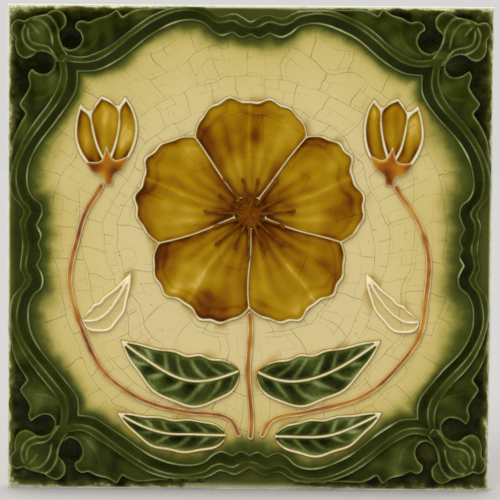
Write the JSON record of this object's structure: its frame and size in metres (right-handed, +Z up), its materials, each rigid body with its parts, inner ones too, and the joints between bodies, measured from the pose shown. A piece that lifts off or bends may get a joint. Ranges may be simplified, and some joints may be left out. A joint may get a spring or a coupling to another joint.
{
  "type": "relief fireplace tile",
  "caption": "Square relief-moulded glazed tile for the cheeks or hearth of a fireplace, with a scalloped frame round a floral field and a grooved back that keys into mortar",
  "frame": {"origin": "the middle of the back face, on the bare oval panel, where the tile is bedded", "axes": "+Y out of the back, away from the viewer; the glazed face looks along -Y; +Z up as the pattern stands; +X to the right as seen from the front"},
  "size_m": [0.1524, 0.0095, 0.1524],
  "materials": {
    "biscuit": "bare fired earthenware, buff, matt",
    "cream_glaze": "translucent cream glaze over white clay, glossy, crazed",
    "green_glaze": "translucent bottle-green glaze on relief, glossy, paler on ridges",
    "deep_green_glaze": "bottle-green glaze pooled deep, glossy, nearly black",
    "thin_glaze": "glaze run thin over a raised line, pale green, glossy",
    "amber_glaze": "translucent amber glaze, glossy, brown where it pools",
    "brown_glaze": "brown glaze, glossy",
    "leaf_glaze": "dark leaf-green glaze, glossy",
    "stem_glaze": "orange-brown glaze on raised lines, glossy",
    "slip_line": "clear glaze over raised pale clay lines, glossy"
  },
  "bodies": {
    "root": {"acanthus_level_bottom_left": "green_glaze", "acanthus_level_bottom_right": "green_glaze", "acanthus_level_top_left": "green_glaze", "acanthus_level_top_right": "green_glaze", "acanthus_upright_bottom_left": "green_glaze", "acanthus_upright_bottom_right": "green_glaze", "acanthus_upright_top_left": "green_glaze", "acanthus_upright_top_right": "green_glaze", "biscuit_body": "biscuit", "bloom_outline": "slip_line", "bloom_petal_1": "amber_glaze", "bloom_petal_2": "amber_glaze", "bloom_petal_3": "amber_glaze", "bloom_petal_4": "amber_glaze", "bloom_petal_5": "amber_glaze", "bloom_seed_pool": "brown_glaze", "bloom_stamens": "brown_glaze", "bud_left_calyx": "stem_glaze", "bud_left_outline": "slip_line", "bud_left_petal_left": "amber_glaze", "bud_left_petal_middle": "amber_glaze", "bud_left_petal_right": "amber_glaze", "bud_right_calyx": "stem_glaze", "bud_right_outline": "slip_line", "bud_right_petal_left": "amber_glaze", "bud_right_petal_middle": "amber_glaze", "bud_right_petal_right": "amber_glaze", "corner_bud_bottom_left": "green_glaze", "corner_bud_bottom_right": "green_glaze", "corner_bud_top_left": "green_glaze", "corner_bud_top_right": "green_glaze", "cove_glaze": "deep_green_glaze", "field_glaze": "cream_glaze", "frame_moulding": "green_glaze", "ground_glaze_bottom_left": "deep_green_glaze", "ground_glaze_bottom_middle": "deep_green_glaze", "ground_glaze_bottom_right": "deep_green_glaze", "ground_glaze_left_middle": "deep_green_glaze", "ground_glaze_right_middle": "deep_green_glaze", "ground_glaze_top_left": "deep_green_glaze", "ground_glaze_top_middle": "deep_green_glaze", "ground_glaze_top_right": "deep_green_glaze", "inner_line": "thin_glaze", "leaf_lower_left_above": "leaf_glaze", "leaf_lower_left_below": "leaf_glaze", "leaf_lower_left_outline": "slip_line", "leaf_lower_right_above": "leaf_glaze", "leaf_lower_right_below": "leaf_glaze", "leaf_lower_right_outline": "slip_line", "leaf_pale_left_outline": "slip_line", "leaf_pale_right_outline": "slip_line", "leaf_upper_left_above": "leaf_glaze", "leaf_upper_left_below": "leaf_glaze", "leaf_upper_left_outline": "slip_line", "leaf_upper_right_above": "leaf_glaze", "leaf_upper_right_below": "leaf_glaze", "leaf_upper_right_outline": "slip_line", "stem_centre": "stem_glaze", "stem_left": "stem_glaze", "stem_right": "stem_glaze"}
  },
  "joints": []
}
